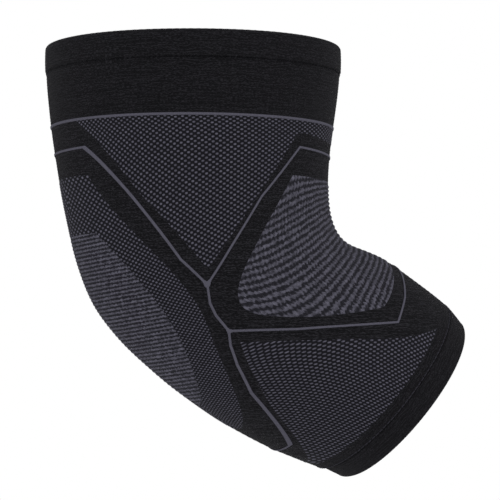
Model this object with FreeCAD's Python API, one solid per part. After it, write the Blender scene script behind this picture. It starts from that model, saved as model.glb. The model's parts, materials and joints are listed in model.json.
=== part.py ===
import FreeCAD, Part
import math
import os
from FreeCAD import Vector

# Knitted elbow pad: a tapered compression sleeve, knitted to a bend.
#
# Frame: the origin is the centre of the upper opening, +Z runs up along the upper arm, +X points
# to the crook of the elbow and the forearm, and the sleeve is the same on both sides of Y = 0.
# Sizes are millimetres. Each zone of the knit, each hem, elastic, stitch line and grip strip is
# a solid of its own, and neighbours meet face to face.

# Side profile, station by station from the upper rim to the forearm rim: the outer edge on the
# crook side, the outer edge on the elbow side, and the depth across Y as a share of the width.
CROOK_LINE = [(58.5, 0), (58.5, -10), (56, -32), (54, -52.5), (55.5, -67), (61, -76),
              (70, -79.5), (81.5, -84), (91, -90), (104, -99), (112.5, -108)]
ELBOW_LINE = [(-58.5, 0), (-58.5, -10), (-56.5, -32), (-53.5, -53.5), (-48.5, -78), (-38, -105),
              (-17.5, -127), (14.5, -149.5), (38.5, -161), (53.5, -166.5), (66, -171)]
DEPTH_SHARE = [0.99, 0.99, 0.98, 0.95, 0.92, 0.90, 0.90, 0.92, 0.95, 0.98, 0.99]

KNIT = 2.0                 # wall of the single knit
PROUD = 0.35               # height of the outline piping and of the stitch lines
PIPING_WIDTH = 1.2
REACH = 90.0               # half length of a cutting prism across Y, past both sides

UPPER_HEM_HEIGHT = 10.5
UPPER_HEM_RADIUS = 58.9
UPPER_BORE_RADIUS = 55.5
RING_TOP = -31.8           # upper edge of the piping that rings the upper arm
STITCH_WIDTH = 0.8

FOREARM_ANGLE = math.radians(36.5)     # fall of the forearm axis below +X
FOREARM_RIM = Vector(89.25, 0, -139.5)
LOWER_HEM_HEIGHT = 10.0
LOWER_HEM_RIM_RADIUS = 39.4
LOWER_HEM_EDGE_RADIUS = 41.4
LOWER_BORE_RADIUS = 36.9
LOWER_BAND_HEIGHT = 5.0

HEM_EDGE_ROUND = 0.8
ELASTIC_WIDTH = 7.0
ELASTIC_THICKNESS = 1.0
ELASTIC_INSET = 1.1        # from the bore to the elastic's inner face
GRIP_WIDTH = 6.0
GRIP_THICKNESS = 0.8
GRIP_GAP = 2.5             # from the hem's inner edge to the grip strip

# Outlines in side view, as runs of (x, z) points. Two points are a straight edge and more are
# a smooth curve. Each run starts where the last one ended.
UPPER_MESH = [[(-56, -30), (-34.5, -62)], [(-34.5, -62), (-9, -91)], [(-9, -91), (8, -65)],
              [(8, -65), (25.5, -40)], [(25.5, -40), (27.5, -38.2), (31, -37.6)],
              [(31, -37.6), (64, -40.5)], [(64, -40.5), (64, -30)], [(64, -30), (-56, -30)]]
CROOK_PANEL = [[(25.5, -54), (12.5, -76)], [(12.5, -76), (5, -91), (3.5, -102), (12.5, -108.3)],
               [(12.5, -108.3), (29, -109), (47.5, -107.4), (66, -104.3)],
               [(66, -104.3), (73.5, -95), (77, -88), (80.5, -78)],
               [(80.5, -78), (66, -60)], [(66, -60), (64, -54)], [(64, -54), (25.5, -54)]]
ELBOW_RIBS = [[(-70, -76), (-45.5, -76.5)],
              [(-45.5, -76.5), (-25, -103.5), (-15.5, -116), (-8, -127.5), (4, -144)],
              [(4, -144), (-10, -160)], [(-10, -160), (-70, -140)], [(-70, -140), (-70, -76)]]
ELBOW_MESH = [[(-70, -54), (-49.5, -54)], [(-49.5, -54), (-27, -86), (-16, -98.5), (-4, -117)],
              [(-4, -117), (3, -128.5), (13.5, -144), (21, -155)],
              [(21, -155), (-10, -175)], [(-10, -175), (-70, -140)], [(-70, -140), (-70, -54)]]
LOWER_MESH = [[(6.5, -118.8), (62, -116.8)], [(62, -116.8), (84, -114.2), (97, -110)],
              [(97, -110), (50, -180)], [(50, -180), (53, -168)],
              [(53, -168), (41.5, -159.7), (20.5, -140), (6.5, -118.8)]]

# The straps are what the panels leave, shared out between these five sectors.
UPPER_TIP = (-9, -91)
CROOK_INNER = (8, -91)
CROOK_CORNER = (8, -106)
LOWER_CORNER = (6.5, -118.8)
BACK_LOW = (-9, -118)
BACK_HIGH = (-21, -98)
SIDE_SECTOR = [UPPER_TIP, CROOK_INNER, CROOK_CORNER, LOWER_CORNER, BACK_LOW, BACK_HIGH]
BACK_UPPER_SECTOR = [UPPER_TIP, BACK_HIGH, (-80, -98), (-80, -20), (-9, -20)]
FRONT_UPPER_SECTOR = [UPPER_TIP, CROOK_INNER, (40, -80), (90, -60), (90, -20), (-9, -20)]
FRONT_LOWER_SECTOR = [LOWER_CORNER, CROOK_CORNER, (40, -90), (90, -60), (150, -60), (150, -140),
                      (60, -140)]
BACK_LOWER_SECTOR = [LOWER_CORNER, BACK_LOW, (-40, -118), (-40, -200), (120, -200), (60, -140)]

# Centre lines of the piping, from junction to junction or out past the silhouette. A round spot
# webs the three lines together at the upper junction.
JUNCTION_RADIUS = 1.3
UPPER_JUNCTION = (-8.8, -97)
LOWER_JUNCTION = (1.4, -114.5)
BACK_UPPER_PIPING = [(-64, -44), (-51.5, -43.3), (-19, -87.5), UPPER_JUNCTION]
FRONT_UPPER_PIPING = [(64, -44.5), (28.5, -43), (11.2, -63), (0, -81.5), UPPER_JUNCTION]
SIDE_PIPING = [UPPER_JUNCTION, (-7, -104), (-4.2, -108.6), LOWER_JUNCTION]
FRONT_LOWER_PIPING = [LOWER_JUNCTION, (28, -113.6), (72, -110), (78, -99.5), (86, -78)]
BACK_LOWER_PIPING = [LOWER_JUNCTION, (3, -120), (7, -127.5), (14.6, -138.2), (36.5, -158.4),
                     (32, -170)]

FOREARM_AXIS = Vector(math.cos(FOREARM_ANGLE), 0, -math.sin(FOREARM_ANGLE))
UP = Vector(0, 0, 1)


def section(station, inset):
    """Ellipse of one station, drawn in the plane through its crook and elbow points."""
    crook = Vector(CROOK_LINE[station][0], 0, CROOK_LINE[station][1])
    elbow = Vector(ELBOW_LINE[station][0], 0, ELBOW_LINE[station][1])
    centre = (crook + elbow) * 0.5
    half_width = (crook - elbow).Length / 2
    half_depth = half_width * DEPTH_SHARE[station] - inset
    across = (crook - elbow).normalize() * (half_width - inset)
    ellipse = Part.Ellipse(centre + across, centre + Vector(0, half_depth, 0), centre)
    return Part.Wire(ellipse.toShape())


def tube(inset):
    """Solid body of the sleeve, its surface moved inwards by inset."""
    sections = [section(station, inset) for station in range(len(CROOK_LINE))]
    return Part.makeLoft(sections, True, False)


def slab(bottom, top):
    """Everything between two heights on the upper arm."""
    return Part.makeBox(2 * REACH, 2 * REACH, top - bottom, Vector(-REACH, -REACH, bottom))


def forearm_slab(start, end):
    """Everything between two distances back from the forearm rim, square to its axis."""
    return Part.makeCylinder(REACH, end - start, FOREARM_RIM - FOREARM_AXIS * end, FOREARM_AXIS)


def half_space(side):
    """The near half (side -1, towards -Y) or the far half (side 1)."""
    return Part.makeBox(400, 200, 400, Vector(-200, -200 if side < 0 else 0, -300))


def run_edge(points):
    """One run of an outline: a straight edge, or a curve through its points."""
    points = [Vector(x, -REACH, z) for x, z in points]
    if len(points) == 2:
        return Part.makeLine(points[0], points[1])
    curve = Part.BSplineCurve()
    curve.interpolate(points)
    return curve.toShape()


def prism(runs):
    """An outline in side view, extended right through the sleeve."""
    outline = Part.Wire([run_edge(run) for run in runs])
    return Part.Face(outline).extrude(Vector(0, 2 * REACH, 0))


def sector(corners):
    """A straight-sided outline, extended right through the sleeve."""
    return prism([[a, b] for a, b in zip(corners, corners[1:] + corners[:1])])


def ribbon(points, width):
    """A line of constant width in side view, extended right through the sleeve."""
    line = Part.makePolygon([Vector(x, -REACH, z) for x, z in points])
    outline = line.makeOffset2D(width / 2, 2, False, False)
    return Part.Face(outline).extrude(Vector(0, 2 * REACH, 0))


def spot(centre, radius):
    """A round outline in side view, extended right through the sleeve."""
    return Part.makeCylinder(radius, 2 * REACH, Vector(centre[0], -REACH, centre[1]), Vector(0, 1, 0))


def piping(skin):
    """The piping lines by name. At a junction each line is cut back to those named before it."""
    side = ribbon(SIDE_PIPING, PIPING_WIDTH).fuse(spot(UPPER_JUNCTION, JUNCTION_RADIUS))
    outlines = {"side_piping": side}
    for name, line in (("back_upper_piping", BACK_UPPER_PIPING), ("front_upper_piping", FRONT_UPPER_PIPING),
                       ("front_lower_piping", FRONT_LOWER_PIPING), ("back_lower_piping", BACK_LOWER_PIPING)):
        outline = ribbon(line, PIPING_WIDTH)
        for earlier in outlines.values():
            outline = outline.cut(earlier)
        outlines[name] = outline
    return {name: skin.common(outline) for name, outline in outlines.items()}


def ring(base, axis, outer, inner, height):
    """A straight ring that starts at base and runs along axis."""
    body = Part.makeCylinder(outer, height, base, axis)
    return body.cut(Part.makeCylinder(inner, height, base, axis))


def upper_hem():
    """Folded hem of the upper opening, with a rounded rim and a pocket for the elastic."""
    base = Vector(0, 0, -UPPER_HEM_HEIGHT)
    hem = ring(base, UP, UPPER_HEM_RADIUS, UPPER_BORE_RADIUS, UPPER_HEM_HEIGHT)
    outer_edges = [edge for edge in hem.Edges
                   if edge.Curve.TypeId == "Part::GeomCircle" and edge.Curve.Radius > UPPER_BORE_RADIUS]
    return hem.makeFillet(HEM_EDGE_ROUND, outer_edges).cut(upper_elastic())


def upper_elastic():
    margin = (UPPER_HEM_HEIGHT - ELASTIC_WIDTH) / 2
    inner = UPPER_BORE_RADIUS + ELASTIC_INSET
    return ring(Vector(0, 0, margin - UPPER_HEM_HEIGHT), UP, inner + ELASTIC_THICKNESS, inner,
                ELASTIC_WIDTH)


def lower_hem():
    """Folded hem of the forearm opening: tapered outside, straight inside."""
    base = FOREARM_RIM - FOREARM_AXIS * LOWER_HEM_HEIGHT
    cone = Part.makeCone(LOWER_HEM_EDGE_RADIUS, LOWER_HEM_RIM_RADIUS, LOWER_HEM_HEIGHT,
                         base, FOREARM_AXIS)
    bore = Part.makeCylinder(LOWER_BORE_RADIUS, LOWER_HEM_HEIGHT, base, FOREARM_AXIS)
    hem = cone.cut(bore)
    outer_edges = [edge for edge in hem.Edges
                   if edge.Curve.TypeId == "Part::GeomCircle" and edge.Curve.Radius > LOWER_BORE_RADIUS]
    return hem.makeFillet(HEM_EDGE_ROUND, outer_edges).cut(lower_elastic())


def lower_elastic():
    margin = (LOWER_HEM_HEIGHT - ELASTIC_WIDTH) / 2
    inner = LOWER_BORE_RADIUS + ELASTIC_INSET
    base = FOREARM_RIM - FOREARM_AXIS * (LOWER_HEM_HEIGHT - margin)
    return ring(base, FOREARM_AXIS, inner + ELASTIC_THICKNESS, inner, ELASTIC_WIDTH)


def build():
    outer = tube(0)
    inner = tube(KNIT)
    wall = outer.cut(inner)
    skin = tube(-PROUD).cut(outer)
    grip_layer = inner.cut(tube(KNIT + GRIP_THICKNESS))

    ring_bottom = RING_TOP - PIPING_WIDTH
    band_end = LOWER_HEM_HEIGHT + LOWER_BAND_HEIGHT
    forearm_reach = 2 * REACH
    field = wall.cut(slab(RING_TOP, REACH)).cut(forearm_slab(-forearm_reach, band_end))

    crook = field.common(prism(CROOK_PANEL))
    ribs = field.common(prism(ELBOW_RIBS))
    elbow_mesh = field.common(prism(ELBOW_MESH)).cut(prism(ELBOW_RIBS))
    upper_mesh = field.common(prism(UPPER_MESH))
    lower_mesh = field.common(prism(LOWER_MESH))
    straps = field
    for outline in (CROOK_PANEL, ELBOW_MESH, UPPER_MESH, LOWER_MESH):
        straps = straps.cut(prism(outline))
    side_strap = straps.common(sector(SIDE_SECTOR))
    lines = piping(skin)
    side_piping = lines.pop("side_piping")

    nodes = {
        "upper_hem": upper_hem(),
        "upper_hem_elastic": upper_elastic(),
        "upper_hem_stitching": skin.common(slab(-UPPER_HEM_HEIGHT - STITCH_WIDTH, -UPPER_HEM_HEIGHT)),
        "upper_grip_strip": grip_layer.common(
            slab(-UPPER_HEM_HEIGHT - GRIP_GAP - GRIP_WIDTH, -UPPER_HEM_HEIGHT - GRIP_GAP)),
        "upper_band": wall.common(slab(RING_TOP, -UPPER_HEM_HEIGHT)),
        "upper_ring_piping": skin.common(slab(ring_bottom, RING_TOP)),
        "back_upper_strap": straps.common(sector(BACK_UPPER_SECTOR)),
        "front_upper_strap": straps.common(sector(FRONT_UPPER_SECTOR)),
        "front_lower_strap": straps.common(sector(FRONT_LOWER_SECTOR)),
        "back_lower_strap": straps.common(sector(BACK_LOWER_SECTOR)),
        "crook_rib_panel": crook,
        "elbow_rib_panel": ribs,
        "elbow_mesh_panel": elbow_mesh,
        "lower_band": wall.common(forearm_slab(LOWER_HEM_HEIGHT, band_end)),
        "lower_hem": lower_hem(),
        "lower_hem_elastic": lower_elastic(),
        "lower_hem_stitching": skin.common(
            forearm_slab(LOWER_HEM_HEIGHT, LOWER_HEM_HEIGHT + STITCH_WIDTH)),
        "lower_grip_strip": grip_layer.common(
            forearm_slab(LOWER_HEM_HEIGHT + GRIP_GAP, LOWER_HEM_HEIGHT + GRIP_GAP + GRIP_WIDTH)),
    }
    for side, name in ((-1, "near"), (1, "far")):
        half = half_space(side)
        nodes["upper_mesh_" + name] = upper_mesh.common(half)
        nodes["lower_mesh_" + name] = lower_mesh.common(half)
        nodes["side_strap_" + name] = side_strap.common(half)
        nodes["side_piping_" + name] = side_piping.common(half)
    nodes.update(lines)
    return nodes


def export(nodes):
    os.makedirs("parts", exist_ok=True)
    for name, shape in nodes.items():
        print(f"{name:20s} solids {len(shape.Solids)}  {shape.Volume:8.1f} mm3  valid {shape.isValid()}")
        shape.exportStep(f"parts/{name}.step")


export(build())
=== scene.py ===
import json
import math

import bpy
import numpy as np
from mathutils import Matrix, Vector, kdtree
from mathutils.geometry import delaunay_2d_cdt


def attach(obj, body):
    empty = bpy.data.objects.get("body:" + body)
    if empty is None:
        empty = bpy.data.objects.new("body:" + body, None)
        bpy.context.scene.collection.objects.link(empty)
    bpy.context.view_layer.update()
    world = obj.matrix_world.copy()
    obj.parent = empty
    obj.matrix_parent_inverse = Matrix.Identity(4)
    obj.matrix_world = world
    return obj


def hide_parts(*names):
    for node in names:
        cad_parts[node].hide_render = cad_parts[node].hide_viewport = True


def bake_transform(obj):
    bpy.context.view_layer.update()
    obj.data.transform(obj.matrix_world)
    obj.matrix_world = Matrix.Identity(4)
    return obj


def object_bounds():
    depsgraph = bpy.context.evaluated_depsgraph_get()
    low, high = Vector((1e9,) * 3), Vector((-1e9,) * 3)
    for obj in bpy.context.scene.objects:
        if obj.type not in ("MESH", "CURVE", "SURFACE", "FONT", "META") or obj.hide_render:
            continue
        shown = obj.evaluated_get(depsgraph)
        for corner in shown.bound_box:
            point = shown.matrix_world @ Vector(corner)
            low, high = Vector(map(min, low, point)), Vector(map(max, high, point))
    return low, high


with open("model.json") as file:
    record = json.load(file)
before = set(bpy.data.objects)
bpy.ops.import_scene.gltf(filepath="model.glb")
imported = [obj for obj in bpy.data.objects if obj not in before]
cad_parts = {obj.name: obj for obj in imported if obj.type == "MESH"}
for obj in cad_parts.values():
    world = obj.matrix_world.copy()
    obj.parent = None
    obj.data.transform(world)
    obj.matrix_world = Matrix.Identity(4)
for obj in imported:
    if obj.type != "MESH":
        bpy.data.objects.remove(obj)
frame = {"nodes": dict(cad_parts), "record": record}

# Knitted elbow pad. Each knit zone of the CAD part is replaced by a closed piece of fabric with
# its own stitch: the zone's outline is read from the CAD node's outer face, and filled with points
# laid along the zone's courses. Sizes below are millimetres, in the part's own frame.
CAD_BOX = [list(corner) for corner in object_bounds()]
MM = 0.001
TURN = 2 * math.pi

# Side profile of the sleeve, station by station, as in the CAD part: the crook side, the elbow
# side, and the depth across Y as a share of the width. A program fitted the two lines to the photo's
# outline, and they are rounded to half a millimetre. The depth is an assumption.
CROOK_LINE = [(58.5, 0), (58.5, -10), (56, -32), (54, -52.5), (55.5, -67), (61, -76),
              (70, -79.5), (81.5, -84), (91, -90), (104, -99), (112.5, -108)]
ELBOW_LINE = [(-58.5, 0), (-58.5, -10), (-56.5, -32), (-53.5, -53.5), (-48.5, -78), (-38, -105),
              (-17.5, -127), (14.5, -149.5), (38.5, -161), (53.5, -166.5), (66, -171)]
DEPTH_SHARE = [0.99, 0.99, 0.98, 0.95, 0.92, 0.90, 0.90, 0.92, 0.95, 0.98, 0.99]
KNIT = 2.0                  # wall of the single knit
NEEDLES = 128               # wales round the sleeve in the ribs and plain knit
PLAIN_PITCH = 1.2           # course spacing of the plain knit
MEAN_RADIUS = 50.0          # of the sleeve, to turn angles into lengths
ELBOW_SIDE = math.pi        # phi of the elbow side, the near side and the far side; the crook's is 0
NEAR, FAR = -math.pi / 2, math.pi / 2


# ---------------------------------------------------------------- camera, floor and light

CAMERA_AZIMUTH = math.radians(-20)
CAMERA_ELEVATION = math.radians(-4)
CAMERA_DISTANCE = 1.2
CAMERA_LENS = 216.0
CAMERA_REACH = 50
AIM_FROM_CENTRE = Vector((-3.5, -2.5, 5.1)) * MM
FLOOR_DROP = 0.3
FLOOR_HALF = 8.0
FLOOR_GREY = 0.86
FLOOR_ROUGHNESS = 0.8
SKY_STRENGTH = 1.0
# Soft boxes: name, place from the sleeve's centre and size in metres, and power in watts.
LIGHTS = [("left_box", (-0.9, -0.6, 0.0), 0.7, 5.5),
          ("right_box", (0.9, -0.6, -0.05), 0.7, 5.0),
          ("top_box", (0.0, -0.6, 1.0), 0.8, 5.0)]


def aim(thing, target):
    thing.rotation_euler = (Vector(target) - thing.location).to_track_quat("-Z", "Y").to_euler()


def add_object(name, data):
    thing = bpy.data.objects.new(name, data)
    bpy.context.scene.collection.objects.link(thing)
    return thing


def camera_and_stage():
    low, high = (Vector(corner) for corner in CAD_BOX)
    centre = (low + high) / 2
    a, e = CAMERA_AZIMUTH, CAMERA_ELEVATION
    back = Vector((math.sin(a) * math.cos(e), -math.cos(a) * math.cos(e), math.sin(e)))
    camera = add_object("camera", bpy.data.cameras.new("camera"))
    camera.data.lens = CAMERA_LENS
    camera.data.clip_end = CAMERA_REACH
    target = centre + AIM_FROM_CENTRE
    camera.location = target + back * CAMERA_DISTANCE
    aim(camera, target)
    bpy.context.scene.camera = camera

    plane = bpy.data.meshes.new("floor")
    z = low.z - FLOOR_DROP
    signs = ((-1, -1), (1, -1), (1, 1), (-1, 1))
    corners = [(centre.x + FLOOR_HALF * i, FLOOR_HALF * j, z) for i, j in signs]
    plane.from_pydata(corners, [], [(0, 1, 2, 3)])
    floor = add_object("floor", plane)
    paint = bpy.data.materials.new("floor_paint")
    paint.use_nodes = True
    surface = paint.node_tree.nodes["Principled BSDF"]
    surface.inputs["Base Color"].default_value = (FLOOR_GREY, FLOOR_GREY, FLOOR_GREY, 1)
    surface.inputs["Roughness"].default_value = FLOOR_ROUGHNESS
    plane.materials.append(paint)

    world = bpy.data.worlds.new("studio")
    world.use_nodes = True
    sky = world.node_tree.nodes["Background"]
    sky.inputs["Color"].default_value = (1, 1, 1, 1)
    sky.inputs["Strength"].default_value = SKY_STRENGTH
    bpy.context.scene.world = world
    bpy.context.scene.view_settings.view_transform = "Standard"
    for name, place, size, power in LIGHTS:
        light = bpy.data.lights.new(name, "AREA")
        light.size = size
        light.energy = power
        box = add_object(name, light)
        box.location = centre + Vector(place)
        aim(box, centre)


# ---------------------------------------------------------------- the sleeve's surface

def spline(knots, values):
    """The smooth curve through values at knots, with no break in its third derivative near an end."""
    count, gap = len(knots), np.diff(knots)
    matrix, right = np.zeros((count, count)), np.zeros(values.shape)
    slope = np.diff(values, axis=0) / gap[:, None]
    for i in range(1, count - 1):
        matrix[i, i - 1:i + 2] = gap[i - 1], 2 * (gap[i - 1] + gap[i]), gap[i]
        right[i] = 6 * (slope[i] - slope[i - 1])
    matrix[0, :3] = gap[1], -gap[0] - gap[1], gap[0]
    matrix[-1, -3:] = gap[-1], -gap[-2] - gap[-1], gap[-2]
    bend = np.linalg.solve(matrix, right)

    def curve(at):
        i = np.clip(np.searchsorted(knots, at, side="right") - 1, 0, count - 2)
        before = ((knots[i + 1] - at) / gap[i])[:, None]
        after = 1 - before
        sag = (before ** 3 - before) * bend[i] + (after ** 3 - after) * bend[i + 1]
        return before * values[i] + after * values[i + 1] + sag * (gap[i] ** 2 / 6)[:, None]

    return curve


TABLE_STEPS = 2000


def station_table():
    """Even steps along the sleeve, each with its centre x and z, half width x and z, and half depth."""
    crook, elbow = np.array(CROOK_LINE, float), np.array(ELBOW_LINE, float)
    centre, half = (crook + elbow) / 2, (crook - elbow) / 2
    depth = np.linalg.norm(half, axis=1) * np.array(DEPTH_SHARE)
    length = np.concatenate([[0], np.cumsum(np.linalg.norm(np.diff(centre, axis=0), axis=1))])
    rows = np.column_stack([centre, half, depth])
    at = np.linspace(0, 1, TABLE_STEPS + 1)
    return at, spline(length / length[-1], rows)(at), length[-1]


TABLE_AT, TABLE, CENTRE_LENGTH = station_table()


def surface(s, phi):
    """Points of the outer surface. s runs from the upper rim, 0, to the forearm rim, 1, and phi round
    the sleeve from the crook, 0, with the near side negative and the elbow at half a turn."""
    cx, cz, hx, hz, depth = (np.interp(s, TABLE_AT, column) for column in TABLE.T)
    return np.stack([cx + hx * np.cos(phi), depth * np.sin(phi), cz + hz * np.cos(phi)], -1)


def unit(vectors):
    return vectors / np.linalg.norm(vectors, axis=-1, keepdims=True)


SLOPE_STEP = 0.002


def normals(s, phi):
    along = surface(s + SLOPE_STEP, phi) - surface(s - SLOPE_STEP, phi)
    around = surface(s, phi + SLOPE_STEP) - surface(s, phi - SLOPE_STEP)
    return unit(np.cross(along, around))


def locate(points):
    """(s, phi) of points on or near the outer surface."""
    x, y, z = points.T
    cx, cz, hx, hz, depth = TABLE.T[:, :, None]
    side = hx * (z - cz) - hz * (x - cx)
    near = np.clip(np.abs(side).argmin(0), 1, TABLE_STEPS - 1)
    every = np.arange(len(x))
    slope = (side[near + 1, every] - side[near - 1, every]) / 2
    s = np.clip((near - side[near, every] / slope) / TABLE_STEPS, 0, 1)
    cx, cz, hx, hz, depth = (np.interp(s, TABLE_AT, column) for column in TABLE.T)
    across = ((x - cx) * hx + (z - cz) * hz) / (hx ** 2 + hz ** 2)
    return s, np.arctan2(y / depth, across)


# Size of the waves, whose lengths over a turn are the divisors in the formula, in millimetres.
BROAD_SWELL = 0.22
FINE_SWELL = 0.08


def unevenness(points):
    """Slight waviness of the worn fabric, in millimetres along the normal, the same for every piece."""
    x, y, z = points.T
    broad = np.sin(x / 15 + z / 19 + 1) * np.sin(y / 14 - z / 23)
    fine = np.sin(x / 6.5 - z / 8 + 2) * np.sin(y / 7.5 + z / 9)
    return BROAD_SWELL * broad + FINE_SWELL * fine


def smooth_step(value, low, high):
    t = np.clip((value - low) / (high - low), 0, 1)
    return t * t * (3 - 2 * t)


# ---------------------------------------------------------------- outlines from the CAD nodes

FABRIC_FACE = -0.25         # height over the surface above which a knit zone's outer face lies
PIPING_FACE = 0.2           # the same for the piping, which stands on the surface
FACING = 0.6                # least cosine between an outer face and the surface's normal
SHORTEST_RUN = 0.15         # share of the step under which an outline's run is left out
POINT_DIGITS = 4            # decimals of a millimetre to which the CAD node's points are merged
TINY = 1e-12                # keeps a face of no area from dividing by zero


def boundary_loops(triangles):
    """The closed loops of vertices round a set of triangles."""
    sides = np.concatenate([triangles[:, [0, 1]], triangles[:, [1, 2]], triangles[:, [2, 0]]])
    known = {tuple(side) for side in sides.tolist()}
    following = {a: b for a, b in known if (b, a) not in known}
    loops = []
    while following:
        start, after = next(iter(following.items()))
        loop = [start]
        while after != start:
            loop.append(after)
            after = following.pop(after)
        following.pop(start)
        loops.append(loop)
    return loops


def outer_loops(node, above):
    """The closed loops round a CAD node's outer face, as arrays of points."""
    mesh = frame["nodes"][node].data
    mesh.calc_loop_triangles()
    points = np.array([v.co for v in mesh.vertices]) / MM
    triangles = np.array([t.vertices for t in mesh.loop_triangles])
    points, index = np.unique(points.round(POINT_DIGITS), axis=0, return_inverse=True)
    triangles = index.reshape(-1)[triangles]
    s, phi = locate(points)
    outward = normals(s, phi)
    height = ((points - surface(s, phi)) * outward).sum(1)
    a, b, c = (points[triangles[:, k]] for k in range(3))
    facing = np.cross(b - a, c - a)
    facing /= np.linalg.norm(facing, axis=1, keepdims=True) + TINY
    ahead = (facing * outward[triangles].mean(1)).sum(1) > FACING
    skin = (height[triangles] > above).all(1)
    return [points[loop] for loop in boundary_loops(triangles[ahead & skin])]


def resample(loop, step):
    """A closed loop of points divided into runs of at most step, with the shortest runs left out."""
    following = np.roll(loop, -1, axis=0)
    made = []
    for start, end in zip(loop, following):
        length = np.linalg.norm(end - start)
        if length < SHORTEST_RUN * step:
            continue
        parts = max(1, math.ceil(length / step))
        made += [start + (end - start) * k / parts for k in range(parts)]
    return np.array(made)


def centred(phi, middle):
    """phi moved by whole turns to within half a turn of middle."""
    return (phi - middle + math.pi) % TURN - math.pi + middle


# ---------------------------------------------------------------- wales and courses of each stitch

# Every stitch pattern is numbered: wales run along the sleeve and courses run round it. Each pattern
# returns the two numbers at points of the surface, from s, phi and the distance to the zone's edge,
# which the piping alone uses. The numbers of the elbow mesh, the forearm mesh and the crook's ribs
# are fits that a program made to the photo's knit, rounded. The upper mesh's formula was put
# together to match local values that a program measured in the photo.

def side_view(s, phi):
    x, _, z = np.moveaxis(surface(s, phi), -1, 0)
    return x, z


def upper_mesh_knit(s, phi, away):
    """Level courses, closest under the ring piping, and wales that close up towards the elbow side."""
    x, z = side_view(s, phi)
    turn, along = np.abs(phi), s * CENTRE_LENGTH
    wale = 0.0015 * (along - 50) ** 2 - 12.5 * turn - 2.05 * turn ** 2
    return wale, -0.51 * z - np.exp((z + 33) / 6) - 0.0016 * x * z


def elbow_mesh_knit(s, phi, away):
    """Courses that rise to the front, more so down the arm."""
    x, z = side_view(s, phi)
    x, z = x + 20, z + 100
    turn, along = ELBOW_SIDE / 2 - np.abs(centred(phi, 0)), s * CENTRE_LENGTH - 130
    wale = 30.4 * turn + 5.9 * turn ** 2 + 0.24 * along + 0.0021 * along ** 2
    return wale, -0.6 * z + 0.001 * z ** 2 + 0.2 * x - 0.003 * x * z


def lower_mesh_knit(s, phi, away):
    """Courses and wales that bend round with the forearm, and get finer towards its underside."""
    x, z = side_view(s, phi)
    x, z = x - 50, z + 135
    wale = 0.31 * x + 0.13 * z - 0.005 * z ** 2 - 0.002 * x * z + 0.0014 * x ** 2
    return wale, -0.69 * z + 0.0033 * z ** 2 + 0.065 * x + 0.0017 * x * z - 0.0034 * x ** 2


def crook_rib_knit(s, phi, away):
    """Ribs that fan out round the crook: nearly level at the back, and steep on the forearm."""
    x, z = side_view(s, phi)
    x, z = (x - 40) / 25, (z + 85) / 25
    fan = 5.6 * x - 8 * z + 0.85 * x ** 2 - 1.7 * z ** 2 - 1.5 * x * z ** 2 - 0.8 * x ** 2 * z
    wave = 0.03 * np.sin(phi * 26 + 3 * z) + 0.03 * np.sin(phi * 41 - 5 * x + 1)
    return wales(phi), fan + wave - 5 * x * np.maximum(z - 0.6, 0) ** 2


ELBOW_RIB_PITCH, ELBOW_RIB_SLOPE = 1.56, 0.2


def elbow_rib_knit(s, phi, away):
    """Straight ribs that rise a little to the front."""
    x, z = side_view(s, phi)
    return wales(phi), (ELBOW_RIB_SLOPE * x - z) / ELBOW_RIB_PITCH


def plain_courses(s, phi, away):
    return wales(phi), -side_view(s, phi)[1] / PLAIN_PITCH


def across_line(s, phi, away):
    return wales(phi), away


def wales(phi):
    return phi * NEEDLES / TURN


# Height of the fabric over the sleeve's surface, from the number of the wale and of the course.

DOT_HEIGHT, DOT_TOP = 0.17, 0.85        # and the share of the wave's height where a dot is flat
FINE_RIB_HEIGHT, FINE_RIB_NUB = 0.17, 0.04
WIDE_RIB_HEIGHT, WIDE_RIB_TOOTH = 0.30, 0.08
DASH_HEIGHT = 0.07
TOOTH_WALES, TOOTH_LEAN = 1.3, 0.4      # teeth to a wale on a wide rib, and how they lean


def dots(wale, course):
    return DOT_HEIGHT * smooth_step(np.cos(TURN * wale) * np.cos(TURN * course), 0.0, DOT_TOP)


def fine_ribs(wale, course):
    crest = (1 + np.cos(TURN * course)) / 2
    return crest * (FINE_RIB_HEIGHT + FINE_RIB_NUB * np.cos(TURN * wale * 2))


def wide_ribs(wale, course):
    crest = smooth_step(np.cos(TURN * course), -0.9, 0.9)
    teeth = np.cos(TURN * (TOOTH_WALES * wale + TOOTH_LEAN * course))
    return crest * (WIDE_RIB_HEIGHT + WIDE_RIB_TOOTH * teeth)


def dashes(wale, course):
    broken = 0.6 + 0.4 * np.cos(TURN * (wale + course / 2))
    return DASH_HEIGHT * np.cos(TURN * course) * broken


# ---------------------------------------------------------------- meshes

COLUMN_STEPS = 400
CROWDED = 0.4               # share of the step within which a point is too near the outline
SHARP_EDGE = math.radians(62)
MERGE_DISTANCE = 1e-6


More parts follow.
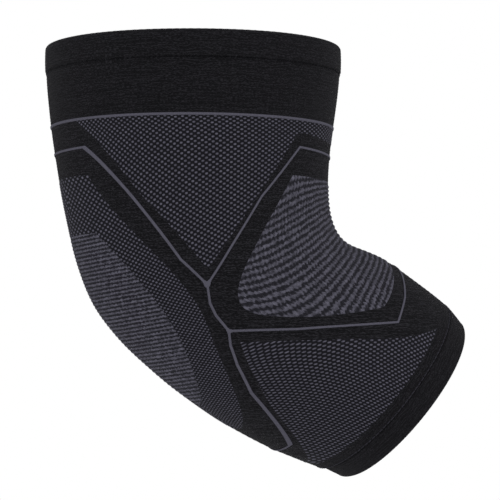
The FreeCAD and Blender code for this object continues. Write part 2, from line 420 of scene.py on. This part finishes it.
def column_points(loops, step):
    """(s, phi) points inside the loops, in staggered columns along the sleeve, about a step apart."""
    ends = np.concatenate([np.stack([loop, np.roll(loop, -1, axis=0)], 1) for loop in loops])
    fine = np.linspace(0, 1, COLUMN_STEPS)
    found = []
    columns = np.arange(ends[:, :, 1].min(), ends[:, :, 1].max(), step / MEAN_RADIUS)
    for number, phi in enumerate(columns):
        before, after = ends[:, 0, 1] - phi, ends[:, 1, 1] - phi
        crossing = ends[before * after < 0]
        if len(crossing) == 0:
            continue
        share = (phi - crossing[:, 0, 1]) / (crossing[:, 1, 1] - crossing[:, 0, 1])
        cuts = np.sort(crossing[:, 0, 0] + share * (crossing[:, 1, 0] - crossing[:, 0, 0]))
        runs = np.linalg.norm(np.diff(surface(fine, np.full_like(fine, phi)), axis=0), axis=1)
        length = np.concatenate([[0], np.cumsum(runs)])
        s = np.interp(np.arange(0.5 * (number % 2), length[-1] / step) * step, length, fine)
        inside = np.searchsorted(cuts, s) % 2 == 1
        found.append(np.column_stack([s[inside], np.full(inside.sum(), phi)]))
    return np.concatenate(found)


def edge_distance(points, edge):
    """Distance from each point to the nearest of the edge's points."""
    tree = kdtree.KDTree(len(edge))
    for index, point in enumerate(edge):
        tree.insert(point, index)
    tree.balance()
    return np.array([tree.find(point)[2] for point in points])


def triangulate(loops, interior):
    """Triangles over the region inside the loops. The loops' points come first in the numbering."""
    flat = np.concatenate([*loops, interior]) * (CENTRE_LENGTH, MEAN_RADIUS)
    edges, first = [], 0
    for loop in loops:
        count = len(loop)
        edges += [(first + k, first + (k + 1) % count) for k in range(count)]
        first += count
    made = delaunay_2d_cdt([Vector(point) for point in flat], edges, [], 2, MERGE_DISTANCE)
    if len(made[0]) != len(flat):
        raise ValueError("an outline crosses itself")
    return np.array(made[2]), edges


def make_mesh(name, points, faces, knit, materials, inner_faces=0):
    """A mesh object from points in millimetres, with the knit's wale and course numbers as a UV map.
    knit has one (wale, course) for each corner of each face. The last inner_faces are the lining."""
    mesh = bpy.data.meshes.new(name)
    mesh.from_pydata((points * MM).tolist(), [], faces)
    layer = mesh.uv_layers.new(name="Knit")
    layer.data.foreach_set("uv", knit.reshape(-1).astype(np.float32))
    for material in materials:
        mesh.materials.append(material)
    if inner_faces:
        slots = np.zeros(len(faces), np.int32)
        slots[-inner_faces:] = 1
        mesh.polygons.foreach_set("material_index", slots)
    mesh.polygons.foreach_set("use_smooth", np.ones(len(faces), bool))
    mesh.set_sharp_from_angle(angle=SHARP_EDGE)
    mesh.update()
    return add_object(name, mesh)


LINING_STEP = 1.8
LINE_STEP = 0.3
JOIN_REACH = 0.7            # how near two lines of piping come to each other where they join


def clear_points(loops, edge_points, step):
    """Points inside the loops that aren't crowded against the edge, and how far each is from it."""
    points = column_points(loops, step)
    away = edge_distance(surface(*points.T), edge_points)
    clear = away > CROWDED * step
    return points[clear], away[clear]


def face_area(points, faces):
    a, b, c = (points[faces[:, k]] for k in range(3))
    return np.linalg.norm(np.cross(b - a, c - a), axis=1).sum() / 2


def outline_length(points, sides):
    return np.linalg.norm(points[sides[:, 1]] - points[sides[:, 0]], axis=1).sum()


def patch(name, node, middle, knit, relief, materials, step, above=FABRIC_FACE, wall=KNIT, joined=()):
    """A closed piece over a CAD node's outer face: the stitch outside, a plain lining inside, and a
    rim that joins them. Its relief doesn't sink at the edge where it meets the joined points."""
    loops = []
    for loop in outer_loops(node, above):
        s, phi = locate(resample(loop, step))
        loops.append(np.column_stack([s, centred(phi, middle)]))
    edge = np.concatenate(loops)
    edge_points = surface(*edge.T)
    outer, away = clear_points(loops, edge_points, step)
    inner, _ = clear_points(loops, edge_points, LINING_STEP)
    outer_faces, sides = triangulate(loops, outer)
    inner_faces, _ = triangulate(loops, inner)

    outer, inner = np.concatenate([edge, outer]), np.concatenate([edge, inner])
    away = np.concatenate([np.zeros(len(edge)), away])
    if len(joined):
        open_edge = edge_points[edge_distance(edge_points, joined) > JOIN_REACH]
        away = edge_distance(surface(*outer.T), open_edge)
    numbers = np.column_stack(knit(*outer.T, away))
    inner_numbers = np.column_stack(plain_courses(*inner.T, 0))
    outer_base, inner_base = surface(*outer.T), surface(*inner.T)
    height = relief(*numbers.T, away) + unevenness(outer_base)
    depth = wall - unevenness(inner_base)
    outer_points = outer_base + normals(*outer.T) * height[:, None]
    inner_points = inner_base - normals(*inner.T) * depth[:, None]

    a, b, c = (outer_points[outer_faces[:, k]] for k in range(3))
    if np.median((np.cross(b - a, c - a) * normals(*outer[outer_faces[:, 0]].T)).sum(1)) < 0:
        outer_faces, inner_faces = outer_faces[:, ::-1], inner_faces[:, ::-1]
    lining = inner_faces[:, ::-1] + len(outer)
    drawn = {tuple(side) for k in range(3) for side in outer_faces[:, [k, (k + 1) % 3]].tolist()}
    sides = np.array([side if side in drawn else side[::-1] for side in sides])
    below = sides + len(outer)
    rim = np.concatenate([np.column_stack([sides[:, 1], sides[:, 0], below[:, 0]]),
                          np.column_stack([sides[:, 1], below[:, 0], below[:, 1]])])
    faces = np.concatenate([outer_faces, rim, lining])
    knit_numbers = np.concatenate([numbers, inner_numbers])[faces]
    piece = make_mesh(name, np.concatenate([outer_points, inner_points]), faces.tolist(), knit_numbers,
                      materials, len(lining))
    return piece, face_area(outer_base, outer_faces), outline_length(outer_base, sides)


FADE_WIDTH = 0.9
LINE_HEIGHT = 0.35
LINE_ROUND = 0.42           # width over which the piping rounds down at each side
LINE_WALL = 0.2             # how deep the piping's own piece goes


def fades(relief):
    """A relief that sinks to nothing at the zone's edge, where it meets its neighbours."""
    return lambda wale, course, away: relief(wale, course) * smooth_step(away, 0, FADE_WIDTH)


def round_line(wale, course, away):
    """The piping's section: flat on top, and rounded down to the fabric at both sides."""
    return LINE_HEIGHT * np.sqrt(1 - (1 - np.clip(away / LINE_ROUND, 0, 1)) ** 2)


def closed_tube(rows, numbers, inward=False):
    """Points, faces, knit numbers and each face's row of a tube of rows round the sleeve, the last
    row joined to the first. rows is (row, column, xyz), and inward faces look into the tube's wall."""
    count, columns = rows.shape[:2]
    row, column = (grid.reshape(-1) for grid in np.meshgrid(range(count), range(columns), indexing="ij"))
    next_row, next_column = (row + 1) % count, (column + 1) % columns
    faces = np.stack([row * columns + column, row * columns + next_column,
                      next_row * columns + next_column, next_row * columns + column], 1)
    step = TURN / columns
    wale = wales(np.stack([column, column + 1, column + 1, column], 1) * step)
    course = np.stack([numbers[row], numbers[row], numbers[next_row], numbers[next_row]], 1)
    course[next_row == 0, 2:] = course[next_row == 0, :2]
    knit = np.stack([wale, course], -1)
    points = rows.reshape(-1, 3)
    a, b, c = (points[faces[:, k]] for k in range(3))
    volume = (np.cross(b - a, c - a) * (a - points.mean(0))).sum()
    if (volume < 0) != inward:
        faces, knit = faces[:, ::-1], knit[:, ::-1]
    return points, faces, knit, row


LINING_EVERY = 3            # the ring's lining has one row for this many of its outer rows
LEAST_ROWS = 4


def ring(name, node, knit_pitch, relief, materials, row_step, column_step, above=FABRIC_FACE,
         wall=KNIT):
    """A closed band right round the sleeve over a CAD node's outer face, its mean width and girth."""
    columns = round(TURN * MEAN_RADIUS / column_step)
    phi = np.arange(columns) * TURN / columns
    edges = []
    for loop in outer_loops(node, above):
        s, at = locate(loop)
        order = np.argsort(at)
        edges.append(np.interp(centred(phi, 0), at[order], s[order], period=TURN))
    top, bottom = sorted(edges, key=np.mean)
    count = max(LEAST_ROWS, round((bottom - top).mean() * CENTRE_LENGTH / row_step))
    share = np.linspace(0, 1, count + 1)
    s = top + (bottom - top) * share[:, None]
    around = np.broadcast_to(phi, s.shape)
    base, out = surface(s, around), normals(s, around)
    width = np.linalg.norm(base[-1] - base[0], axis=1)
    away = np.minimum(share, 1 - share)[:, None] * width
    course = share * width.mean() / knit_pitch
    lift = unevenness(base.reshape(-1, 3)).reshape(s.shape)
    outer = base + out * (relief(wales(around), course[:, None], away) + lift)[..., None]
    inner = (base + out * (lift - wall)[..., None])[::-LINING_EVERY]
    numbers = np.concatenate([course, course[::-LINING_EVERY]])
    points, faces, knit, row = closed_tube(np.concatenate([outer, inner]), numbers)
    lining = (row > count) & (row < count + len(inner))
    order = np.argsort(lining, kind="stable")
    piece = make_mesh(name, points, faces[order].tolist(), knit[order], materials, int(lining.sum()))
    girth = np.linalg.norm(base[0] - np.roll(base[0], 1, axis=0), axis=1).sum()
    return piece, width.mean(), girth


# ---------------------------------------------------------------- hems, stitching and grip strips

STATION_STEPS = 200


class Opening:
    """One end of the sleeve, from the record's mount, with depths measured in from its rim."""

    def __init__(self, mount_name, end, rim_radius, edge_radius, elastic_margin):
        mount = next(m for m in frame["record"]["mounts"] if m["name"] == mount_name)
        self.centre = np.array(mount["pos_m"]) / MM
        self.outward = unit(np.array(mount["axis"]))
        self.bore = mount["dims"]["r_mm"]
        self.depth = mount["dims"]["length_mm"]
        self.rim_radius, self.edge_radius, self.elastic_margin = rim_radius, edge_radius, elastic_margin
        crook, elbow = surface(np.array([end, end]), np.array([0, math.pi]))
        side = crook - elbow
        self.crook_side = unit(side - self.outward * (side @ self.outward))

    def place(self, radius, depth, phi):
        across = np.cos(phi)[..., None] * self.crook_side + np.sin(phi)[..., None] * np.array([0, 1, 0])
        return self.centre - self.outward * depth[..., None] + across * radius[..., None]

    def station(self, depth, phi):
        """s where the sleeve's surface lies that deep, for each phi."""
        s = np.linspace(0, 1, STATION_STEPS + 1)
        found = []
        for angle in phi:
            below = (self.centre - surface(s, np.full_like(s, angle))) @ self.outward
            order = np.argsort(below)
            found.append(np.interp(depth, below[order], s[order]))
        return np.array(found)


RIM_ROUND = 1.3             # rounding of the hem's rim
GROOVE_ROUND = 0.7          # rounding of its inner edge, which leaves the groove
HEM_BULGE = 0.15
HEM_ROW = 0.3
RIM_ARC = 15                # degrees between the rim's rows
BORE_ROWS = 4
RIM_WAVE = 0.1              # unevenness of the rim, which dies out towards the hem's inner edge
BORE_SKIN = 0.1             # the stitch pattern stops this close to the bore
POCKET_GAP = 0.05           # between the elastic and the pocket it lies in
ELASTIC_INSET = 1.1
ELASTIC_THICKNESS = 1.0


def hem_profile(opening):
    """(radius, depth) rows round the hem's section: up the outside, over the rim, down the bore."""
    depth = np.arange(opening.depth, RIM_ROUND, -HEM_ROW)
    share = depth / opening.depth
    radius = opening.rim_radius + (opening.edge_radius - opening.rim_radius) * share
    radius += HEM_BULGE * np.sin(math.pi * share) - HEM_BULGE
    to_edge = np.clip(1 - (opening.depth - depth) / GROOVE_ROUND, 0, 1)
    radius -= GROOVE_ROUND * (1 - np.sqrt(1 - to_edge ** 2))
    turn = np.radians(np.arange(0, 181, RIM_ARC))
    centre, half = (radius[-1] + opening.bore) / 2, (radius[-1] - opening.bore) / 2
    over = np.column_stack([centre + half * np.cos(turn), RIM_ROUND * (1 - np.sin(turn))])
    down = np.linspace(RIM_ROUND, opening.depth, BORE_ROWS + 1)[1:]
    bore = np.column_stack([np.full(BORE_ROWS, opening.bore), down])
    return np.concatenate([np.column_stack([radius, depth]), over[1:], bore])


def hem(name, node, opening, columns):
    """The folded hem, with a pocket inside for its elastic."""
    phi = np.arange(columns) * TURN / columns
    profile = hem_profile(opening)
    length = np.concatenate([[0], np.cumsum(np.linalg.norm(np.diff(profile, axis=0), axis=1))])
    course = length / PLAIN_PITCH
    side = np.roll(profile, -1, axis=0) - np.roll(profile, 1, axis=0)
    out = unit(np.column_stack([-side[:, 1], side[:, 0]]))
    outside = profile[:, 0] > opening.bore + BORE_SKIN
    swell = outside[:, None] * dashes(wales(phi), course[:, None])
    wave = RIM_WAVE * np.sin(3 * phi + 1) * (1 - profile[:, 1:] / opening.depth)
    radius = profile[:, :1] + out[:, :1] * swell
    depth = profile[:, 1:] + out[:, 1:] * swell + wave
    points, faces, knit, _ = closed_tube(opening.place(radius, depth, phi), course)

    near, deep = opening.elastic_margin - POCKET_GAP, opening.depth - opening.elastic_margin + POCKET_GAP
    low = opening.bore + ELASTIC_INSET - POCKET_GAP
    high = opening.bore + ELASTIC_INSET + ELASTIC_THICKNESS + POCKET_GAP
    corners = np.array([(low, near), (high, near), (high, deep), (low, deep)])
    pocket = opening.place(corners[:, :1] + 0 * phi, corners[:, 1:] + 0 * phi, phi)
    pocket_points, pocket_faces, pocket_knit, _ = closed_tube(pocket, np.arange(4.0), inward=True)
    every_face = np.concatenate([faces, pocket_faces + len(points)])
    return make_mesh(name, np.concatenate([points, pocket_points]), every_face.tolist(),
                     np.concatenate([knit, pocket_knit]), [BLACK])


STITCH_LENGTH = 2.0
STITCH_WIDTH = 0.45
STITCH_HEIGHT = 0.3
STITCH_GAP = 0.2
STITCH_RISE = -0.05         # of the thread's middle over the fabric
STITCH_DEPTH = 0.45         # from the hem's inner edge to the stitch line
STITCH_RINGS, STITCH_SIDES = 9, 8
STITCH_BLUNT, STITCH_TIP = 4, 0.02      # how full the ends are, and the share left at the very tip


def stitching(name, opening, thread):
    """A row of single stitches right round, just inside the hem."""
    girth = TURN * opening.edge_radius
    count = round(girth / (STITCH_LENGTH + STITCH_GAP))
    phi = np.arange(count) * TURN / count
    s = opening.station(opening.depth + STITCH_DEPTH, phi)
    base, out = surface(s, phi), normals(s, phi)
    along = unit(np.roll(base, -1, axis=0) - np.roll(base, 1, axis=0))
    across = np.cross(out, along)
    base = base + out * unevenness(base)[:, None]

    reach = np.linspace(-1, 1, STITCH_RINGS)[:, None]
    turn = np.arange(STITCH_SIDES) * TURN / STITCH_SIDES
    fullness = (1 - np.abs(reach) ** STITCH_BLUNT) ** 0.5 + STITCH_TIP
    lengthwise = reach * STITCH_LENGTH / 2
    sideways = fullness * np.cos(turn) * STITCH_WIDTH / 2
    upwards = STITCH_RISE + fullness * np.sin(turn) * STITCH_HEIGHT
    grid = np.stack(np.broadcast_arrays(lengthwise, sideways, upwards), -1).reshape(-1, 3)
    rings, around = len(reach), len(turn)
    ring_at, at = (g.reshape(-1) for g in np.meshgrid(range(rings - 1), range(around), indexing="ij"))
    after = (at + 1) % around
    shell = np.stack([ring_at * around + at, (ring_at + 1) * around + at,
                      (ring_at + 1) * around + after, ring_at * around + after], 1)
    caps = [list(range(around)), list(range((rings - 1) * around, rings * around))[::-1]]
    points = base[:, None] + grid[:, :1] * along[:, None] + grid[:, 1:2] * across[:, None]
    points = (points + grid[:, 2:] * out[:, None]).reshape(-1, 3)
    faces = []
    for number in range(count):
        first = number * len(grid)
        faces += (shell + first).tolist() + [[first + k for k in cap] for cap in caps]
    twist = np.stack(np.broadcast_arrays(reach * STITCH_LENGTH, turn / TURN), -1).reshape(-1, 2)
    corners = [corner % len(grid) for face in faces for corner in face]
    return make_mesh(name, points, faces, twist[corners], [thread])


GRIP_GAP = 2.5
GRIP_WIDTH = 6.0
BEAD_WIDTH = 1.5
BEAD_HEIGHT = 0.72
BEAD_WAVES = 30
BEAD_SWING = 0.5
BEAD_COLUMNS = 720
BEAD_ARC = 20               # degrees between the rows over a bead


def grip(name, opening):
    """Three wavy silicone beads on the lining, which keep the sleeve from slipping."""
    phi = np.arange(BEAD_COLUMNS) * TURN / BEAD_COLUMNS
    arch = np.radians(np.arange(0, 181, BEAD_ARC))
    section = np.column_stack([BEAD_WIDTH / 2 * np.cos(arch), BEAD_HEIGHT * np.sin(arch)])
    shells = []
    spacing = (GRIP_WIDTH - BEAD_WIDTH) / 2 - BEAD_SWING
    swing = BEAD_SWING * np.sin(BEAD_WAVES * phi)
    for lane in (-1, 0, 1):
        middle = opening.depth + GRIP_GAP + GRIP_WIDTH / 2 + lane * spacing
        rows = []
        for shift, height in section:
            s = opening.station(middle + shift, phi) + swing / CENTRE_LENGTH
            base, out = surface(s, phi), normals(s, phi)
            rows.append(base + out * (unevenness(base) - KNIT - height)[:, None])
        shells.append(closed_tube(np.array(rows), np.arange(len(section)) * 1.0))
    starts = np.cumsum([0] + [len(points) for points, *_ in shells])
    faces = np.concatenate([faces + start for (_, faces, *_), start in zip(shells, starts)])
    return make_mesh(name, np.concatenate([points for points, *_ in shells]), faces.tolist(),
                     np.concatenate([knit for _, _, knit, _ in shells]), [SILICONE])


# ---------------------------------------------------------------- materials

SHEEN_TINT = (0.86, 0.86, 0.95, 1)
WALE_MM, COURSE_MM = 2.6, 2.0           # rough size of a wale and a course, to size the noise
MIX_SHARE, MIX_DARK, MIX_LIGHT, MIX_COLOUR = 0, 6, 7, 2     # sockets of a Mix node set to colours
PATCH_LOW, PATCH_HIGH = 0.3, 0.7        # noise between which a patch goes from worn to full


class Shader:
    """A material under construction. Each call adds a node and returns its output socket."""

    def __init__(self, name, roughness=0.9, specular=0.03, sheen=0.015, sheen_roughness=0.45):
        self.material = bpy.data.materials.new(name)
        self.material.use_nodes = True
        self.nodes = self.material.node_tree.nodes
        self.links = self.material.node_tree.links
        self.surface = self.nodes["Principled BSDF"]
        self.surface.inputs["Roughness"].default_value = roughness
        self.surface.inputs["Specular IOR Level"].default_value = specular
        self.surface.inputs["Sheen Weight"].default_value = sheen
        self.surface.inputs["Sheen Roughness"].default_value = sheen_roughness
        self.surface.inputs["Sheen Tint"].default_value = SHEEN_TINT
        uv = self.nodes.new("ShaderNodeUVMap")
        uv.uv_map = "Knit"
        split = self.nodes.new("ShaderNodeSeparateXYZ")
        self.links.new(uv.outputs[0], split.inputs[0])
        self.wale, self.course = split.outputs[0], split.outputs[1]

    def put(self, socket, value):
        if isinstance(value, bpy.types.NodeSocket):
            self.links.new(value, socket)
        else:
            socket.default_value = value

    def math(self, operation, *values):
        node = self.nodes.new("ShaderNodeMath")
        node.operation = operation
        for socket, value in zip(node.inputs, values):
            self.put(socket, value)
        return node.outputs[0]

    def wave(self, number, times=1.0):
        """Cosine that peaks times over between each whole number and the next."""
        return self.math("COSINE", self.math("MULTIPLY", number, TURN * times))

    def times(self, *values):
        product = values[0]
        for value in values[1:]:
            product = self.math("MULTIPLY", product, value)
        return product

    def step(self, value, low, high, start=0.0, end=1.0):
        node = self.nodes.new("ShaderNodeMapRange")
        node.interpolation_type = "SMOOTHSTEP"
        for socket, setting in zip(node.inputs, (value, low, high, start, end)):
            self.put(socket, setting)
        return node.outputs[0]

    def noise(self, size_mm, detail=2.0, stretch=(1.0, 1.0)):
        """Noise that stays on the fabric, with features of about size_mm."""
        place = self.nodes.new("ShaderNodeCombineXYZ")
        self.put(place.inputs[0], self.math("MULTIPLY", self.wale, WALE_MM / stretch[0]))
        self.put(place.inputs[1], self.math("MULTIPLY", self.course, COURSE_MM / stretch[1]))
        node = self.nodes.new("ShaderNodeTexNoise")
        self.put(node.inputs["Vector"], place.outputs[0])
        node.inputs["Scale"].default_value = 1 / size_mm
        node.inputs["Detail"].default_value = detail
        return node.outputs["Fac"]

    def patchy(self, size_mm, detail, least=0.0, stretch=(1.0, 1.0)):
        """From least to 1, in patches of about size_mm."""
        return self.step(self.noise(size_mm, detail, stretch), PATCH_LOW, PATCH_HIGH, least, 1.0)

    def mix(self, share, dark, light):
        node = self.nodes.new("ShaderNodeMix")
        node.data_type = "RGBA"
        self.put(node.inputs[MIX_SHARE], share)
        self.put(node.inputs[MIX_DARK], dark)
        self.put(node.inputs[MIX_LIGHT], light)
        return node.outputs[MIX_COLOUR]

    def finish(self, colour, height=None, depth_mm=0.1):
        self.put(self.surface.inputs["Base Color"], colour)
        if height is not None:
            bump = self.nodes.new("ShaderNodeBump")
            bump.inputs["Distance"].default_value = depth_mm * MM
            bump.inputs["Strength"].default_value = 1.0
            self.put(bump.inputs["Height"], height)
            self.put(self.surface.inputs["Normal"], bump.outputs[0])
        return self.material


YARN_GREEN, YARN_BLUE = 0.97, 1.26      # shares of the red
PLAIN_BLUE = 1.15


def grey(value, blue=YARN_BLUE):
    """A yarn grey, with its blue and a little less green than red."""
    return (value, value * YARN_GREEN, value * blue, 1)


def stitch_height(shader):
    """Single stitches far finer than the pattern, as on any machine knit."""
    columns = shader.wave(shader.wale, 4)
    rows = shader.wave(shader.course, 3)
    return shader.math("ADD", shader.times(columns, rows), shader.noise(0.35, 3))


def dotted_knit(name, dark, light):
    """Pale dots on a dark mesh, as the wales and courses cross."""
    shader = Shader(name)
    shade = shader.times(shader.wave(shader.wale), shader.wave(shader.course))
    dot = shader.step(shade, 0.0, 0.75)
    worn = shader.patchy(2.2, 1, least=0.62)
    colour = shader.mix(shader.times(dot, worn), grey(dark), grey(light))
    return shader.finish(colour, stitch_height(shader), 0.05)


def ribbed_knit(name, dark, light, low, high, patch_mm, stretch, teeth):
    """Pale ribs along the courses, worn in patches and toothed at their edges."""
    shader = Shader(name)
    lean = shader.math("ADD", shader.times(shader.wale, TOOTH_WALES),
                       shader.times(shader.course, TOOTH_LEAN))
    stray = shader.times(shader.math("SUBTRACT", shader.noise(1.1, 2), 0.5), 1.1)
    course = shader.math("ADD", shader.course, stray)
    toothed = shader.math("ADD", shader.wave(course), shader.times(shader.wave(lean), teeth))
    rib = shader.step(toothed, low, high)
    patches = shader.patchy(patch_mm, 2, least=0.45, stretch=stretch)
    colour = shader.mix(shader.times(rib, patches), grey(dark), grey(light))
    return shader.finish(colour, stitch_height(shader), 0.07)


def plain_knit(name, dark, light):
    """Dark plain knit with paler stitches that stray from their rows."""
    shader = Shader(name)
    spots = shader.times(shader.math("SUBTRACT", shader.noise(0.6, 2, (1.6, 1.0)), 0.5), 4.0)
    stray = shader.times(shader.noise(2.5, 2, (3.0, 1.0)), 3.0)
    row = shader.times(shader.wave(shader.math("ADD", shader.course, stray)), 0.3)
    dash = shader.step(shader.math("ADD", row, spots), -0.3, 0.9)
    colour = shader.mix(dash, grey(dark, PLAIN_BLUE), grey(light, PLAIN_BLUE))
    return shader.finish(colour, stitch_height(shader), 0.06)


def smooth_knit(name, dark, light):
    """The lining, with no pattern but its fibres."""
    shader = Shader(name)
    colour = shader.mix(shader.patchy(1.0, 3), grey(dark), grey(light))
    return shader.finish(colour, shader.noise(0.3, 2), 0.04)


def line_knit(name, dark, light):
    """Piping: pale along its middle, with painted shade at both sides where it sinks into the fabric."""
    shader = Shader(name)
    # painted shade: the colour goes dark towards both edges of the piping, where it meets the fabric
    middle = shader.step(shader.course, 0.08, 0.3)
    worn = shader.patchy(0.8, 2, least=0.8)
    colour = shader.mix(shader.times(middle, worn), grey(dark), grey(light))
    return shader.finish(colour, shader.noise(0.3, 2), 0.04)


def twisted_thread(name, dark, light):
    """Two plies that wind round the thread."""
    shader = Shader(name)
    ply = shader.wave(shader.math("ADD", shader.math("MULTIPLY", shader.wale, 1.5), shader.course), 2)
    colour = shader.mix(shader.step(ply, -0.5, 0.8), grey(dark), grey(light))
    return shader.finish(colour, ply, 0.05)


def rubber(name, dark, light):
    """Smooth silicone, duller where dust clings to it."""
    shader = Shader(name, roughness=0.38, specular=0.5, sheen=0.0)
    dust = shader.step(shader.noise(1.4, 4), 0.45, 0.75)
    shader.put(shader.surface.inputs["Roughness"], shader.step(dust, 0, 1, 0.32, 0.6))
    colour = shader.mix(dust, grey(dark), grey(light))
    return shader.finish(colour, shader.noise(0.6, 3), 0.03)


CORD_PITCH_MM = 0.9
CROSS_THREADS = 420                     # round the tape


def elastic_weave(name, opening, dark, light):
    """Woven tape: covered rubber cords that run round it, tied by fine cross threads."""
    shader = Shader(name, roughness=0.75, specular=0.2)
    place = shader.nodes.new("ShaderNodeTexCoord")
    turned = shader.nodes.new("ShaderNodeVectorRotate")
    turned.rotation_type = "Y_AXIS"
    turned.inputs["Center"].default_value = opening.centre * MM
    turned.inputs["Angle"].default_value = math.atan2(opening.outward[0], opening.outward[2])
    turned.invert = True
    shader.links.new(place.outputs["Object"], turned.inputs["Vector"])
    moved = shader.nodes.new("ShaderNodeVectorMath")
    moved.operation = "SUBTRACT"
    shader.links.new(turned.outputs[0], moved.inputs[0])
    moved.inputs[1].default_value = opening.centre * MM
    split = shader.nodes.new("ShaderNodeSeparateXYZ")
    shader.links.new(moved.outputs[0], split.inputs[0])
    x, y, height = split.outputs
    angle = shader.math("ARCTAN2", y, x)
    cord = shader.wave(height, 1 / (CORD_PITCH_MM * MM))
    tie = shader.wave(angle, CROSS_THREADS / TURN)
    weave = shader.math("ADD", shader.times(tie, shader.step(cord, -0.8, 0.2)), cord)
    colour = shader.mix(shader.step(weave, -1.0, 1.4), grey(dark), grey(light))
    return shader.finish(colour, weave, 0.12)


UPPER_OPENING = Opening("upper_arm_opening", end=0, rim_radius=59.1, edge_radius=59.1,
                        elastic_margin=1.75)
LOWER_OPENING = Opening("forearm_opening", end=1, rim_radius=39.4, edge_radius=41.5,
                        elastic_margin=1.5)

BLACK = plain_knit("black_knit", dark=0.0035, light=0.0125)
STRAP = plain_knit("strap_knit", dark=0.0035, light=0.0150)
LINING = smooth_knit("lining_knit", dark=0.008, light=0.014)
MESH = dotted_knit("dotted_knit", dark=0.005, light=0.066)
CROOK = ribbed_knit("crook_ribbed_knit", dark=0.009, light=0.069, low=-0.9, high=1.2, patch_mm=1.6,
                    stretch=(1.0, 1.0), teeth=0.35)
ELBOW = ribbed_knit("elbow_ribbed_knit", dark=0.009, light=0.075, low=-0.8, high=1.1, patch_mm=1.6,
                    stretch=(2.0, 1.0), teeth=0.2)
PIPING = line_knit("piping_knit", dark=0.006, light=0.054)
BLACK_THREAD = twisted_thread("black_thread", dark=0.002, light=0.005)
GREY_THREAD = twisted_thread("grey_thread", dark=0.014, light=0.030)
SILICONE = rubber("silicone_grip", dark=0.020, light=0.035)


# ---------------------------------------------------------------- pieces

# Steps between points, in millimetres.
MESH_STEP, WIDE_RIB_STEP, FINE_RIB_STEP, STRAP_STEP = 0.45, 0.42, 0.36, 0.5
FOREARM_STEP = 0.42         # finer than the other meshes, as its dots are

# name: the middle angle of the zone, its stitch, the height of its stitch, material and slot, the
# step between its points, and the piping that lies on it.
ZONES = {
    "upper_mesh_near": (NEAR, upper_mesh_knit, dots, MESH, "mesh_knit", MESH_STEP, []),
    "upper_mesh_far": (FAR, upper_mesh_knit, dots, MESH, "mesh_knit", MESH_STEP, []),
    "elbow_mesh_panel": (ELBOW_SIDE, elbow_mesh_knit, dots, MESH, "mesh_knit", MESH_STEP, []),
    "lower_mesh_near": (NEAR, lower_mesh_knit, dots, MESH, "mesh_knit", FOREARM_STEP, []),
    "lower_mesh_far": (FAR, lower_mesh_knit, dots, MESH, "mesh_knit", FOREARM_STEP, []),
    "crook_rib_panel": (0.0, crook_rib_knit, wide_ribs, CROOK, "crook_rib_knit", WIDE_RIB_STEP, []),
    "elbow_rib_panel": (ELBOW_SIDE, elbow_rib_knit, fine_ribs, ELBOW, "elbow_rib_knit",
                        FINE_RIB_STEP, []),
}
for strap, strap_middle, strap_line in (("back_upper_strap", ELBOW_SIDE, "back_upper_piping"),
                                        ("front_upper_strap", 0.0, "front_upper_piping"),
                                        ("side_strap_near", NEAR, "side_piping_near"),
                                        ("side_strap_far", FAR, "side_piping_far"),
                                        ("front_lower_strap", 0.0, "front_lower_piping"),
                                        ("back_lower_strap", ELBOW_SIDE, "back_lower_piping")):
    ZONES[strap] = (strap_middle, plain_courses, dashes, STRAP, "strap_knit", STRAP_STEP, [strap_line])


def stand_for(piece, slot, *nodes):
    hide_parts(*nodes)


def bend(piece):
    """Bakes a piece's transform into its mesh."""
    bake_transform(piece)


def piping_outlines():
    """Close points along the outline of each line of piping."""
    outlines = {}
    for *_, lines in ZONES.values():
        for line in lines:
            loops = outer_loops(line, PIPING_FACE)
            outlines[line] = np.concatenate([resample(loop, LINE_STEP) for loop in loops])
    return outlines


def knit_zones():
    outlines = piping_outlines()
    for node, (middle, knit, relief, material, slot, step, lines) in ZONES.items():
        piece, area, edge = patch(node + "_fabric", node, middle, knit, fades(relief),
                                  [material, LINING], step)
        stand_for(piece, slot, node)
        bend(piece)
        for line in lines:
            others = [outline for other, outline in outlines.items() if other != line]
            piping, *_ = patch(line + "_line", line, middle, across_line, round_line,
                               [PIPING, PIPING], LINE_STEP, PIPING_FACE, wall=LINE_WALL,
                               joined=np.concatenate(others))
            stand_for(piping, "piping_knit", line)
            bend(piping)


BAND_ROW, BAND_COLUMN = 0.3, 0.5        # steps between the band's points along and round the sleeve
RING_ROW, RING_COLUMN = 0.2, 0.6        # the same for the piping that rings the upper arm
RING_PITCH = 1.0
ELASTIC_DARK, ELASTIC_LIGHT = 0.02, 0.2


def band_and_hem(end, body, opening, columns, thread):
    """Everything at one end: its band, folded hem, stitching, grip beads and elastic."""
    band, width, girth = ring(end + "_band_fabric", end + "_band", PLAIN_PITCH, fades(dashes),
                              [BLACK, LINING], BAND_ROW, BAND_COLUMN)
    stand_for(band, "band_knit", end + "_band")
    bend(band)
    fold = hem(end + "_hem_fold", end + "_hem", opening, columns)
    stand_for(fold, "band_knit", end + "_hem")
    stitches = stitching(end + "_hem_stitches", opening, thread)
    stand_for(stitches, "thread", end + "_hem_stitching")
    beads = grip(end + "_grip_beads", opening)
    stand_for(beads, "silicone", end + "_grip_strip")
    for piece in (fold, stitches):
        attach(piece, body)
    bend(beads)
    tape = elastic_weave(end + "_elastic_weave", opening, ELASTIC_DARK, ELASTIC_LIGHT)
    for slot in frame["nodes"][end + "_hem_elastic"].material_slots:
        slot.material = tape


def ring_piping():
    line, *_ = ring("upper_ring_line", "upper_ring_piping", RING_PITCH, round_line, [PIPING, PIPING],
                    RING_ROW, RING_COLUMN, PIPING_FACE, wall=LINE_WALL)
    stand_for(line, "piping_knit", "upper_ring_piping")
    bend(line)


camera_and_stage()
knit_zones()
band_and_hem("upper", "upper_arm", UPPER_OPENING, columns=720, thread=BLACK_THREAD)
band_and_hem("lower", "forearm", LOWER_OPENING, columns=520, thread=GREY_THREAD)
ring_piping()
